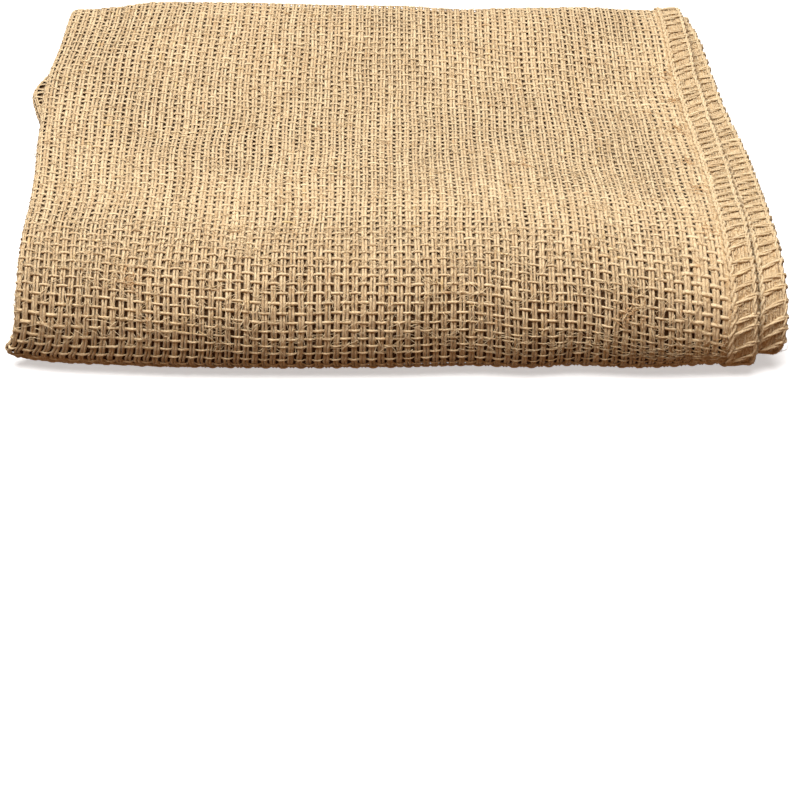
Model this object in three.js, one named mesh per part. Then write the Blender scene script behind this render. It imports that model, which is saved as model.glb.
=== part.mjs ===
// A jute sack, sewn and folded for storage.
//
// The sack is one cloth, doubled at the bottom and overlocked with twine down both sides. It is
// folded in half along its length, so both side seams come to the right, and then twice across
// its length. That makes four passes, one over the other, and each pass is four walls of cloth.
//
// Millimetres, +Z up. The origin is at the middle of the footprint, on the surface it lies on.
// The rolled front fold faces -Y and the seams are at +X.

import * as THREE from 'three';

// ---------------------------------------------------------------- driving sizes

const CLOTH = 1.4; // one wall of the sack
const WALL_GAP = 0.5; // between two walls that lie together
const DEPTH = 244; // front fold to rear fold
const PASS = 4 * CLOTH + 3 * WALL_GAP; // four walls of one pass
const HALF = PASS / 2;
const PITCHES = 3; // from the lowest of the four passes to the highest
const FOOTPRINT_MIDDLE = { x: -7.1575, y: 0.679 }; // of the places in the tables below

// Faces of the walls above the middle of a pass. They are mirrored below it.
const FACE = {
  outside: HALF, // outer wall, outer face
  outerLining: HALF - CLOTH, // outer wall, face towards the inside of the sack
  innerLining: WALL_GAP / 2 + CLOTH, // inner wall, face towards the inside of the sack
  crease: WALL_GAP / 2, // inner wall, face in the lengthwise fold
};

// Side seams: both walls are drawn together and bound with an overlock of twine.
const SEAM = {
  width: 11, // of the binding
  drawnIn: 2, // both walls under the binding
  middle: 2.1, // of the two walls, above the middle of the pass
  run: 2.5, // over which the walls come together
  clearance: 0.3, // between cloth and binding
  endClearance: 0.6, // past the cut edge
  twine: 0.5, // thickness of the binding
  ridge: 0.5, // chain of loops along each edge of the binding
  ridgeWidth: 2.2,
  lift: 1, // the lowest pass stands this much higher over its seam
  liftFrom: 100, // and rises to that from here
  liftTo: 124,
};

// Turns of the folds. Levels count passes, 0 for the lowest and 3 for the highest.
const FRONT_FOLD = { level: 0.65, reachBelow: 9, reachAbove: 41, squareness: 2.15 };
const INNER_FOLD_IN = 20; // the inner fold stops this far behind the front edge

// The two ends of the sack are straight and stop short of the rear fold, a little askew.
const FREE_ENDS = {
  bottom: { in: 8, skew: 0.012 },
  mouth: { in: 13, skew: -0.018 },
};

// Height of the folded sack over its plan: a row for each place from the front to the rear, with
// the heights at the places listed in ACROSS. It is high at the front fold and hollow behind it.
const ACROSS = [-150, -95, -47, 0, 47, 95, 150];
const HEIGHTS = [
  { back: 45, height: [44.6, 45.0, 44.8, 45.0, 45.0, 44.8, 43.6] },
  { back: 60, height: [44.2, 44.4, 44.2, 44.4, 44.1, 43.9, 42.8] },
  { back: 82, height: [43.4, 43.4, 42.8, 42.0, 40.6, 40.0, 40.8] },
  { back: 108, height: [42.4, 41.8, 40.4, 38.4, 36.4, 36.0, 38.4] },
  { back: 132, height: [42.0, 41.0, 38.4, 35.6, 33.6, 33.8, 37.0] },
  { back: 153, height: [42.6, 41.4, 38.4, 34.8, 32.8, 33.4, 36.8] },
  { back: 175, height: [43.8, 42.8, 40.6, 37.0, 34.6, 35.4, 37.4] },
  { back: 197, height: [44.6, 44.6, 43.6, 41.4, 39.6, 39.0, 39.0] },
  { back: 220, height: [44.8, 45.4, 45.4, 44.4, 43.0, 41.4, 40.0] },
  { back: 243, height: [43.4, 44.4, 44.4, 43.6, 42.2, 40.6, 39.2] },
];
const RIPPLE = { height: 0.45, acrossLength: 74, backLength: 58 };

// The front and rear edges aren't straight: how far each lies inwards, from left to right.
const EDGE_WAVES = [
  { x: -150, front: 6.5, rear: 6 },
  { x: -136, front: 3.8, rear: 4 },
  { x: -116, front: 2.2, rear: -1.5 },
  { x: -86, front: 0.4, rear: -1 },
  { x: -45, front: 0, rear: 1.5 },
  { x: 0, front: 0.4, rear: 1.5 },
  { x: 30, front: 1.4, rear: 4 },
  { x: 50, front: 0.2, rear: 1 },
  { x: 68, front: 1.6, rear: -1 },
  { x: 93, front: 0.2, rear: -2 },
  { x: 120, front: 1.2, rear: 0.5 },
  { x: 150, front: 2.6, rear: -1.5 },
];

// Side edges along the way of the cloth, from its closed end to its mouth. `at` counts stretches
// of the way: 0-1 lowest pass, 1-3 front fold, 3-4 highest pass, 4-5 rear fold, 5-6 second pass,
// 6-7 inner fold, 7-8 third pass. `left` is the lengthwise fold; `inboard` and `outboard` are the
// cut edges of the two seams.
const SIDE_EDGES = [
  { place: 'closed end', at: 0.0, left: -151, inboard: 131, outboard: 143 },
  { place: 'lowest pass', at: 0.5, left: -149, inboard: 135, outboard: 147 },
  { place: 'under the front fold', at: 1.0, left: -146, inboard: 137, outboard: 147 },
  { place: 'foot of the front fold', at: 1.5, left: -153, inboard: 138.5, outboard: 149 },
  { place: 'near corner', at: 1.8, left: -156, inboard: 139, outboard: 150 },
  { place: 'front fold', at: 2.2, left: -151, inboard: 139, outboard: 151 },
  { place: 'crest', at: 3.0, left: -150.5, inboard: 137.5, outboard: 149.5 },
  { place: 'highest pass, front', at: 3.18, left: -152, inboard: 137.5, outboard: 149 },
  { place: 'highest pass', at: 3.35, left: -155, inboard: 137.5, outboard: 148.5 },
  { place: 'hollow', at: 3.55, left: -158, inboard: 136, outboard: 145 },
  { place: 'hollow, rear', at: 3.68, left: -158.5, inboard: 134.5, outboard: 143 },
  { place: 'highest pass, rear', at: 3.85, left: -156.5, inboard: 134, outboard: 140.5 },
  { place: 'rear fold, upper', at: 4.0, left: -156, inboard: 133, outboard: 137 },
  { place: 'rear fold, lower', at: 5.0, left: -156, inboard: 131, outboard: 137 },
  { place: 'second pass, rear', at: 5.1, left: -156, inboard: 131, outboard: 139 },
  { place: 'rolled tip, rear', at: 5.2, left: -164, inboard: 132, outboard: 140 },
  { place: 'rolled tip', at: 5.27, left: -167.5, inboard: 133, outboard: 141 },
  { place: 'rolled tip, front', at: 5.35, left: -164, inboard: 134, outboard: 142 },
  { place: 'second pass', at: 5.45, left: -158, inboard: 135, outboard: 144 },
  { place: 'second pass, front', at: 5.8, left: -154, inboard: 137, outboard: 148 },
  { place: 'inner fold', at: 6.5, left: -150, inboard: 137, outboard: 148 },
  { place: 'third pass', at: 7.5, left: -155, inboard: 134, outboard: 144 },
  { place: 'mouth', at: 8.0, left: -153, inboard: 131, outboard: 139 },
];

// How finely each stretch of the way is faceted.
const STEPS = [7, 4, 7, 9, 5, 13, 5, 7];
const CLOSED_END = 0.008; // of the first stretch, about one wall thick
const PLACES_ACROSS = 8;
const TURN_POINTS = { outside: 5, lining: 3, crease: 1 }; // round the lengthwise fold

// ---------------------------------------------------------------- curves through the tables

/** A smooth curve through the rows, read at one place; flat past both ends. */
function through(places, values, at) {
  const last = places.length - 1;
  if (at <= places[0]) return values[0];
  if (at >= places[last]) return values[last];
  let i = 0;
  while (places[i + 1] < at) i++;
  const slope = (k) => {
    const a = Math.max(k - 1, 0);
    const b = Math.min(k + 1, last);
    return (values[b] - values[a]) / (places[b] - places[a]);
  };
  const step = places[i + 1] - places[i];
  const t = (at - places[i]) / step;
  const fromStart = values[i] * (1 + 2 * t) * (1 - t) ** 2 + slope(i) * step * t * (1 - t) ** 2;
  const fromEnd = values[i + 1] * t * t * (3 - 2 * t) - slope(i + 1) * step * t * t * (1 - t);
  return fromStart + fromEnd;
}

const column = (rows, name) => rows.map((row) => row[name]);
const readers = (rows, key, names) =>
  Object.fromEntries(names.map((name) => [name, (at) => through(column(rows, key), column(rows, name), at)]));

const edgeWave = readers(EDGE_WAVES, 'x', ['front', 'rear']);
const sideEdge = readers(SIDE_EDGES, 'at', ['left', 'inboard', 'outboard']);

function heightOver(x, back) {
  const rowHeights = HEIGHTS.map((row) => through(ACROSS, row.height, x));
  const across = Math.sin((2 * Math.PI * x) / RIPPLE.acrossLength);
  const along = Math.sin((2 * Math.PI * back) / RIPPLE.backLength);
  return through(column(HEIGHTS, 'back'), rowHeights, back) + RIPPLE.height * across * along;
}

const passPitch = (x, back) => (heightOver(x, back) - PASS) / PITCHES;
const seamLift = (x) => SEAM.lift * THREE.MathUtils.smoothstep(x, SEAM.liftFrom, SEAM.liftTo);

// ---------------------------------------------------------------- the way of the cloth

const frontEdge = (x) => HALF + edgeWave.front(x);
const rearEdge = (x) => DEPTH - HALF - edgeWave.rear(x);
const freeEnd = (x, end) => DEPTH - HALF - end.in + end.skew * x;
const quarter = (turn) => (turn * Math.PI) / 2;

/** Where the middle of a pass is after `at` stretches: its distance back and its level. */
function wayPoint(at, x) {
  const stretch = Math.min(Math.floor(at), STEPS.length - 1);
  const part = at - stretch;
  const front = frontEdge(x);
  const rear = rearEdge(x);
  const power = 2 / FRONT_FOLD.squareness;
  const rearTurn = passPitch(x, rear) / 2;
  const innerEdge = front + INNER_FOLD_IN;
  const innerTurn = passPitch(x, innerEdge) / 2;
  const between = (from, to, level) => ({ back: from + (to - from) * part, level });
  switch (stretch) {
    case 0:
      return between(freeEnd(x, FREE_ENDS.bottom), front + FRONT_FOLD.reachBelow, 0);
    case 1:
      return {
        back: front + FRONT_FOLD.reachBelow * (1 - Math.sin(quarter(part)) ** power),
        level: FRONT_FOLD.level * (1 - Math.cos(quarter(part)) ** power),
      };
    case 2:
      return {
        back: front + FRONT_FOLD.reachAbove * (1 - Math.cos(quarter(part)) ** power),
        level: FRONT_FOLD.level + (PITCHES - FRONT_FOLD.level) * Math.sin(quarter(part)) ** power,
      };
    case 3:
      return between(front + FRONT_FOLD.reachAbove, rear - rearTurn, 3);
    case 4:
      return {
        back: rear - rearTurn * (1 - Math.sin(part * Math.PI)),
        level: 2.5 + 0.5 * Math.cos(part * Math.PI),
      };
    case 5:
      return between(rear - rearTurn, innerEdge + innerTurn, 2);
    case 6:
      return {
        back: innerEdge + innerTurn * (1 - Math.sin(part * Math.PI)),
        level: 1.5 + 0.5 * Math.cos(part * Math.PI),
      };
    default:
      return between(innerEdge + innerTurn, freeEnd(x, FREE_ENDS.mouth), 1);
  }
}

/** The middle of a pass in the y-z plane at x. */
function middle(at, x) {
  const { back, level } = wayPoint(at, x);
  return { y: back - DEPTH / 2, z: HALF + level * passPitch(x, back) + seamLift(x) };
}

/** A point of the folded cloth, `off` outwards from the middle of its pass. */
function onCloth(at, x, off) {
  const nudge = 1e-3;
  const before = middle(Math.max(at - nudge, 0), x);
  const after = middle(Math.min(at + nudge, STEPS.length), x);
  const dy = after.y - before.y;
  const dz = after.z - before.z;
  const length = Math.hypot(dy, dz);
  const { y, z } = middle(at, x);
  const back = y - (off * dz) / length;
  return new THREE.Vector3(x - FOOTPRINT_MIDDLE.x, back - FOOTPRINT_MIDDLE.y, z + (off * dy) / length);
}

const STATIONS = [0, CLOSED_END];
STEPS.forEach((steps, stretch) => {
  for (let i = 1; i <= steps; i++) STATIONS.push(stretch + i / steps);
});

// ---------------------------------------------------------------- sections across the cloth

/** Where the walls of one half start to come together at their seam. */
const seamStart = (at, edge) => sideEdge[edge](at) - SEAM.width - SEAM.run;

/** A face of the upper half, from the lengthwise fold to its seam. */
function inboardFace(at, off) {
  const from = sideEdge.left(at) + HALF;
  const to = seamStart(at, 'inboard');
  return Array.from({ length: PLACES_ACROSS }, (_, i) => {
    return { x: from + ((to - from) * i) / (PLACES_ACROSS - 1), off };
  });
}

/** A face of the lower half: the same places, and one more at its own seam, further out. */
const outboardFace = (at, off) => [...inboardFace(at, off), { x: seamStart(at, 'outboard'), off }];

/** Half a turn round the lengthwise fold, from above to below, without its two ends. */
function leftTurn(at, radius, points) {
  const centre = sideEdge.left(at) + HALF;
  return Array.from({ length: points }, (_, i) => {
    const angle = (Math.PI * (i + 1)) / (points + 1);
    return { x: centre - radius * Math.sin(angle), off: radius * Math.cos(angle) };
  });
}

/** The two walls drawn together at a seam: from their outer face round the cut edge and back. */
function drawnEdge(at, edge, side) {
  const cut = sideEdge[edge](at);
  const high = SEAM.middle + SEAM.drawnIn / 2;
  const low = SEAM.middle - SEAM.drawnIn / 2;
  const from = cut - SEAM.width;
  return [[from, high], [cut, high], [cut, low], [from, low]].map(([x, off]) => ({ x, off: side * off }));
}

/** The cloth's outline: out along the lower half, back along the upper half, seams at the right. */
const clothSection = (at) => [
  ...inboardFace(at, FACE.outside).reverse(),
  ...leftTurn(at, FACE.outside, TURN_POINTS.outside),
  ...outboardFace(at, -FACE.outside),
  ...drawnEdge(at, 'outboard', -1),
  ...outboardFace(at, -FACE.crease).reverse(),
  ...leftTurn(at, FACE.crease, TURN_POINTS.crease).reverse(),
  ...inboardFace(at, FACE.crease),
  ...drawnEdge(at, 'inboard', 1).reverse(),
];

/** The inside of the sack, between its two walls. */
const insideSection = (at) => [
  ...inboardFace(at, FACE.outerLining).reverse(),
  ...leftTurn(at, FACE.outerLining, TURN_POINTS.lining),
  ...outboardFace(at, -FACE.outerLining),
  ...outboardFace(at, -FACE.innerLining).reverse(),
  ...leftTurn(at, FACE.innerLining, TURN_POINTS.lining).reverse(),
  ...inboardFace(at, FACE.innerLining),
];

/** A binding, wrapped round the drawn edges with a ridge along each of its own edges. */
function bindingSection(at, edge, side) {
  const cut = sideEdge[edge](at);
  const { width, twine, ridge, ridgeWidth } = SEAM;
  const roof = SEAM.drawnIn / 2 + SEAM.clearance;
  const end = SEAM.endClearance + twine;
  const outline = [
    [-width, roof],
    [-width, roof + twine],
    [-width + ridgeWidth / 2, roof + twine + ridge],
    [-width + ridgeWidth, roof + twine],
    [-ridgeWidth, roof + twine],
    [-ridgeWidth / 2, roof + twine + ridge],
    [end - twine / 2, roof],
    [end, 0],
    [end - twine / 2, -roof],
    [-ridgeWidth / 2, -roof - twine],
    [-width, -roof - twine],
    [-width, -roof],
    [SEAM.endClearance, -roof],
    [SEAM.endClearance, roof],
  ];
  const points = outline.map(([out, up]) => ({ x: cut + out, off: side * (SEAM.middle + up) }));
  return side > 0 ? points.reverse() : points;
}

// ---------------------------------------------------------------- solids from sections

/** Collects loops of points along the way and joins them into one closed surface. */
class Sweep {
  constructor() {
    this.points = [];
    this.flat = []; // the same points in their flat section
    this.triangles = [];
  }

  /** Skins the stations with one section each; returns the point numbers of the two end loops. */
  skin(stations, section, inwards = false) {
    const loops = stations.map((at) => {
      const first = this.points.length;
      const corners = section(at);
      this.points.push(...corners.map(({ x, off }) => onCloth(at, x, off)));
      this.flat.push(...corners.map(({ x, off }) => new THREE.Vector2(x, off)));
      return corners.map((_, i) => first + i);
    });
    for (let k = 1; k < loops.length; k++) {
      const a = loops[k - 1];
      const b = loops[k];
      a.forEach((_, i) => {
        // Every face is split the same way across the sack, so that walls a little apart stay so.
        const j = (i + 1) % a.length;
        const rightwards = this.flat[b[j]].x > this.flat[b[i]].x;
        const [start, end] = rightwards ? [a[i], b[j]] : [b[i], a[j]];
        this.add([a[i], b[i], end], inwards);
        this.add([start, b[j], a[j]], inwards);
      });
    }
    return { first: loops[0], last: loops[loops.length - 1] };
  }

  /** Closes a loop. */
  cap(loop, flipped) {
    const faces = THREE.ShapeUtils.triangulateShape(loop.map((i) => this.flat[i]), []);
    faces.forEach((corners) => this.add(corners.map((c) => loop[c]), flipped));
  }

  /** Fills the band between two lines of points that run side by side. */
  band(a, b, flipped) {
    const apart = (i, j) => (i < a.length && j < b.length ? this.flat[a[i]].distanceTo(this.flat[b[j]]) : Infinity);
    let i = 0;
    let j = 0;
    while (i < a.length - 1 || j < b.length - 1) {
      if (apart(i + 1, j) < apart(i, j + 1)) {
        this.add([a[i], a[i + 1], b[j]], flipped);
        i++;
      } else {
        this.add([a[i], b[j + 1], b[j]], flipped);
        j++;
      }
    }
  }

  add([a, b, c], flipped) {
    this.triangles.push(...(flipped ? [a, c, b] : [a, b, c]));
  }

  geometry() {
    const geometry = new THREE.BufferGeometry().setFromPoints(this.points);
    geometry.setIndex(this.triangles);
    geometry.computeVertexNormals();
    return geometry;
  }
}

// How many points the runs of a section have: out over both halves, and a drawn edge.
const bothHalves = (turn) => 2 * PLACES_ACROSS + 1 + TURN_POINTS[turn];
const DRAWN_POINTS = 4;

/** The outline's runs: its outer face, its face in the crease, and the two drawn edges. */
function outlineRuns(outline) {
  const creaseFrom = bothHalves('outside') + DRAWN_POINTS;
  const creaseTo = creaseFrom + bothHalves('crease');
  return {
    outer: outline.slice(0, bothHalves('outside')),
    crease: outline.slice(creaseFrom, creaseTo),
    outboard: outline.slice(bothHalves('outside') - 1, creaseFrom + 1),
    inboard: [...outline.slice(creaseTo - 1), outline[0]],
  };
}

/** Closes the cloth right across at its bottom end. */
function closeBottom(sweep, outline) {
  const { outer, crease, outboard, inboard } = outlineRuns(outline);
  sweep.band(outer, crease.reverse(), false);
  sweep.cap(outboard, false);
  sweep.cap(inboard, false);
}

/** Ends the inside of the sack at its bottom. */
function closeInside(sweep, inside) {
  const lining = bothHalves('lining');
  sweep.band(inside.slice(0, lining), inside.slice(lining).reverse(), true);
}

/** Closes the cut ends of the two walls round the open mouth. */
function closeWalls(sweep, outline, inside) {
  const { outer, crease, outboard, inboard } = outlineRuns(outline);
  const lining = bothHalves('lining');
  sweep.band(outer, inside.slice(0, lining), true);
  sweep.band(crease, inside.slice(lining), true);
  sweep.cap([...outboard, inside[lining], inside[lining - 1]], true);
  sweep.cap([...inboard, inside[0], inside.at(-1)], true);
}

/** The folded cloth: closed at its bottom end, open at its mouth. */
function clothGeometry() {
  const sweep = new Sweep();
  const outside = sweep.skin(STATIONS, clothSection);
  const inside = sweep.skin(STATIONS.slice(1), insideSection, true);
  closeBottom(sweep, outside.first);
  closeInside(sweep, inside.first);
  closeWalls(sweep, outside.last, inside.last);
  return sweep.geometry();
}

function bindingGeometry(edge, side) {
  const sweep = new Sweep();
  const skin = sweep.skin(STATIONS, (at) => bindingSection(at, edge, side));
  sweep.cap(skin.first, false);
  sweep.cap(skin.last, true);
  return sweep.geometry();
}

// ---------------------------------------------------------------- the sack

const jute = new THREE.MeshStandardMaterial({ color: 0xc9a779, roughness: 0.95, metalness: 0 });
const twine = new THREE.MeshStandardMaterial({ color: 0xd6b586, roughness: 0.9, metalness: 0 });

const sack = new THREE.Group();
const addPiece = (name, geometry, material) => {
  const mesh = new THREE.Mesh(geometry, material);
  mesh.name = name;
  sack.add(mesh);
};

addPiece('sack_cloth', clothGeometry(), jute);
addPiece('side_seam_inboard', bindingGeometry('inboard', 1), twine);
addPiece('side_seam_outboard', bindingGeometry('outboard', -1), twine);

export default sack;
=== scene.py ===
"""A folded jute sack: the doubled cloth on its folds, its woven yarns, the two overlocked side
seams and the loose fibres, with a plain stage.

The cloth is woven and sewn flat in millimetres, then laid over the folds, and ends in metres."""

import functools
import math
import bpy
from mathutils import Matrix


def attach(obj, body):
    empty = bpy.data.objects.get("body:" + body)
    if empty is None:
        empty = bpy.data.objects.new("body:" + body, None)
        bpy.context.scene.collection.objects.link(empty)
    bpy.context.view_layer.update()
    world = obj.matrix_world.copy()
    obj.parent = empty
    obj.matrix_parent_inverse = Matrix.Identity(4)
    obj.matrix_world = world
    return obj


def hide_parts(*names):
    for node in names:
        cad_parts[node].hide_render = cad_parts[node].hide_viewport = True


bl_info = {
    "name": "Folded jute sack",
    "version": (1, 0, 0),
    "blender": (4, 5, 0),
    "location": "View3D > Sidebar > Jute sack",
    "description": "Weaves, sews and folds a jute sack",
    "category": "Add Mesh",
}

import bmesh
import bpy
import numpy as np
from mathutils import Matrix, Vector

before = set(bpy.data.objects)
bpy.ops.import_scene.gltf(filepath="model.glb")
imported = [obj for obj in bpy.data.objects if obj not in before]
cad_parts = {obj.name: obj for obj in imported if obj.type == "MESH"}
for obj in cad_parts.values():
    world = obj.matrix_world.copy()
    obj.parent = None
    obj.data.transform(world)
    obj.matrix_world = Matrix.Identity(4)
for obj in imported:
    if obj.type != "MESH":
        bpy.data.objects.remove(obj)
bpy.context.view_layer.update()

seeded = np.random.default_rng

# ---- sizes of the fold, millimetres

CLOTH = 1.4  # one wall of the sack
WALL_GAP = 0.5
DEPTH = 244.0  # front fold to rear fold
PASS = 4 * CLOTH + 3 * WALL_GAP
HALF = PASS / 2
PITCHES = 3
FOOTPRINT_MIDDLE = (-7.1575, 0.679)
LINING = {"outer": HALF - CLOTH, "inner": WALL_GAP / 2 + CLOTH, "crease": WALL_GAP / 2}
SEAM_WIDTH, SEAM_RUN, SEAM_MIDDLE, SEAM_DRAWN_IN = 11.0, 2.5, 2.1, 2.0
SEAM_LIFT, LIFT_FROM, LIFT_TO = 1.0, 100.0, 124.0
FOLD_LEVEL, REACH_BELOW, REACH_ABOVE, SQUARENESS = 0.65, 9.0, 41.0, 2.15
INNER_FOLD_IN = 20.0
BOTTOM_END = (8.0, 0.012)  # how far it stops short of the rear fold, and its skew
MOUTH_END = (13.0, -0.018)

# Heights over the plan: a row for each place from front to rear, a column for each place across.
ACROSS = (-150, -95, -47, 0, 47, 95, 150)
HEIGHTS = {
    45: (44.6, 45.0, 44.8, 45.0, 45.0, 44.8, 43.6),
    60: (44.2, 44.4, 44.2, 44.4, 44.1, 43.9, 42.8),
    82: (43.4, 43.4, 42.8, 42.0, 40.6, 40.0, 40.8),
    108: (42.4, 41.8, 40.4, 38.4, 36.4, 36.0, 38.4),
    132: (42.0, 41.0, 38.4, 35.6, 33.6, 33.8, 37.0),
    153: (42.6, 41.4, 38.4, 34.8, 32.8, 33.4, 36.8),
    175: (43.8, 42.8, 40.6, 37.0, 34.6, 35.4, 37.4),
    197: (44.6, 44.6, 43.6, 41.4, 39.6, 39.0, 39.0),
    220: (44.8, 45.4, 45.4, 44.4, 43.0, 41.4, 40.0),
    243: (43.4, 44.4, 44.4, 43.6, 42.2, 40.6, 39.2),
}
RIPPLE, RIPPLE_ACROSS, RIPPLE_BACK = 0.45, 74.0, 58.0

# x: how far the front edge and the rear edge lie inwards.
EDGE_WAVES = {
    -150: (6.5, 6), -136: (3.8, 4), -116: (2.2, -1.5), -86: (0.4, -1), -45: (0, 1.5), 0: (0.4, 1.5),
    30: (1.4, 4), 50: (0.2, 1), 68: (1.6, -1), 93: (0.2, -2), 120: (1.2, 0.5), 150: (2.6, -1.5),
}

# Along the way of the cloth: the lengthwise fold, the inboard and the outboard cut edge.
SIDE_EDGES = {
    0.0: (-151, 131, 143), 0.5: (-149, 135, 147), 1.0: (-146, 137, 147), 1.5: (-153, 138.5, 149),
    1.8: (-156, 139, 150), 2.2: (-151, 139, 151), 3.0: (-150.5, 137.5, 149.5),
    3.18: (-152, 137.5, 149), 3.35: (-155, 137.5, 148.5), 3.55: (-158, 136, 145),
    3.68: (-158.5, 134.5, 143), 3.85: (-156.5, 134, 140.5), 4.0: (-156, 133, 137),
    5.0: (-156, 131, 137), 5.1: (-156, 131, 139), 5.2: (-164, 132, 140), 5.27: (-167.5, 133, 141),
    5.35: (-164, 134, 142), 5.45: (-158, 135, 144), 5.8: (-154, 137, 148), 6.5: (-150, 137, 148),
    7.5: (-155, 134, 144), 8.0: (-153, 131, 139),
}
STRETCHES = 8

# ---- curves through the tables


def through(places, values, at):
    """A smooth curve through the rows, read at many places; flat past both ends."""
    places, values = np.asarray(places, float), np.asarray(values, float)
    ahead = np.minimum(np.arange(len(places)) + 1, len(places) - 1)
    behind = np.maximum(np.arange(len(places)) - 1, 0)
    spans = (places[ahead] - places[behind]).reshape((-1,) + (1,) * (values.ndim - 1))
    slopes = (values[ahead] - values[behind]) / spans
    at = np.clip(at, places[0], places[-1])
    i = np.clip(np.searchsorted(places, at, side="right") - 1, 0, len(places) - 2)
    step = places[i + 1] - places[i]
    t = (at - places[i]) / step
    row = lambda table, k: table[k] if values.ndim == 1 else table[k, np.arange(len(k))]
    curve = row(values, i) * (1 + 2 * t) * (1 - t) ** 2 + row(slopes, i) * step * t * (1 - t) ** 2
    curve = curve + row(values, i + 1) * t * t * (3 - 2 * t)
    return curve - row(slopes, i + 1) * step * t * t * (1 - t)


def reader(rows, column):
    """One column of a table, as a curve through its rows."""
    places, values = list(rows), [row[column] for row in rows.values()]
    return lambda at: through(places, values, at)


front_wave, rear_wave = reader(EDGE_WAVES, 0), reader(EDGE_WAVES, 1)
left_edge, inboard_edge, outboard_edge = (reader(SIDE_EDGES, k) for k in range(3))


def ramp(low, high, value):
    """0 below `low`, 1 above `high` and smooth between."""
    t = np.clip((value - low) / (high - low), 0, 1)
    return t * t * (3 - 2 * t)


def height_over(x, back):
    """The height of the folded sack over a place on the floor."""
    rows = np.stack([through(ACROSS, row, x) for row in HEIGHTS.values()])
    ripple = np.sin(2 * np.pi * x / RIPPLE_ACROSS) * np.sin(2 * np.pi * back / RIPPLE_BACK)
    return through(list(HEIGHTS), rows, back) + RIPPLE * ripple


def pass_pitch(x, back):
    """From the middle of one pass up to the next."""
    return (height_over(x, back) - PASS) / PITCHES


def way_point(at, x):
    """Where the middle of a pass is after `at` stretches: its distance back and its level."""
    stretch = np.minimum(np.floor(at), STRETCHES - 1)
    part = at - stretch
    front, rear = HALF + front_wave(x), DEPTH - HALF - rear_wave(x)
    power = 2 / SQUARENESS
    rear_turn = pass_pitch(x, rear) / 2
    inner_edge = front + INNER_FOLD_IN
    inner_turn = pass_pitch(x, inner_edge) / 2
    inner = inner_edge + inner_turn
    rising = np.clip(np.sin(part * np.pi / 2), 0, 1) ** power
    falling = 1 - np.clip(np.cos(part * np.pi / 2), 0, 1) ** power
    round_turn, halfway = 1 - np.sin(part * np.pi), np.cos(part * np.pi) / 2
    bottom = DEPTH - HALF - BOTTOM_END[0] + BOTTOM_END[1] * x
    mouth = DEPTH - HALF - MOUTH_END[0] + MOUTH_END[1] * x
    flat = np.zeros_like(x)
    mix = lambda a, b: a + (b - a) * part
    backs = (
        mix(bottom, front + REACH_BELOW),
        front + REACH_BELOW * (1 - rising),
        front + REACH_ABOVE * falling,
        mix(front + REACH_ABOVE, rear - rear_turn),
        rear - rear_turn * round_turn,
        mix(rear - rear_turn, inner),
        inner_edge + inner_turn * round_turn,
        mix(inner, mouth),
    )
    levels = (
        flat, FOLD_LEVEL * falling, FOLD_LEVEL + (PITCHES - FOLD_LEVEL) * rising, flat + 3,
        2.5 + halfway, flat + 2, 1.5 + halfway, flat + 1,
    )
    chosen = [stretch == k for k in range(STRETCHES)]
    return np.select(chosen, backs), np.select(chosen, levels)


def pass_middle(at, x):
    """Back and up to the middle of a pass, lifted at the seams."""
    back, level = way_point(at, x)
    lift = SEAM_LIFT * ramp(LIFT_FROM, LIFT_TO, x)
    return back - DEPTH / 2, HALF + level * pass_pitch(x, back) + lift


def on_cloth(at, x, off):
    """Points of the folded cloth, `off` outwards from the middle of their pass."""
    at, x, off = (np.ravel(a) for a in np.broadcast_arrays(at, x, off))
    nudge = 1e-3
    y0, z0 = pass_middle(np.clip(at - nudge, 0, None), x)
    y1, z1 = pass_middle(np.clip(at + nudge, None, STRETCHES), x)
    y, z = pass_middle(at, x)
    dy, dz = y1 - y0, z1 - z0
    length = np.hypot(dy, dz)
    y = y - off * dz / length
    return np.column_stack([x - FOOTPRINT_MIDDLE[0], y - FOOTPRINT_MIDDLE[1], z + off * dy / length])


# ---- the flat cloth, laid on the folds

PAIR = 3.5  # across, from one pair of warps to the next
PICK = 3.72  # along, from one weft to the next
PAIRS = 82  # on one half of the sack, from the lengthwise fold to the cut edge
WIDTH = PAIRS * PAIR
YARN_LAYER = 0.7  # middle of the yarns, below the outer face of the cloth
TURN = math.pi * HALF / 2  # a quarter of the way round the lengthwise fold
GROUND = 1.6  # the wall under the yarns lies this far below the outer face
CREST = 3.0  # `at` of the crest, where the wefts are counted from

# The wefts don't run straight across: how far along the cloth each lies at places across.
SKEW_ACROSS = (-160, -120, -77, -38, 0, 40, 75, 108, 140)
SKEW = (3.5, 1.8, -0.6, -2.2, -2.8, -4.4, -8.0, -13.5, -20.0)
SKEW_MIDDLE, DRIFT_MIDDLE = 150.0, 142.0  # across, where the skew and the drift are counted from
DRIFT_ACROSS, DRIFT_ALONG = 0.28, 0.6
FULLER_BY_SEAM, FULLER_BY_CREST = 2.6, 1.1
STRAIGHT_LEFT, STRAIGHT_RIGHT = -151.0, 137.0  # the side edges that the middle yarns keep to


def outer_off(at, x):
    """The outer face of the upper half: full height, and drawn in towards the inboard seam."""
    start = inboard_edge(at) - SEAM_WIDTH - SEAM_RUN
    return HALF - (HALF - SEAM_MIDDLE - SEAM_DRAWN_IN / 2) * ramp(0, SEAM_RUN, x - start)


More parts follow.
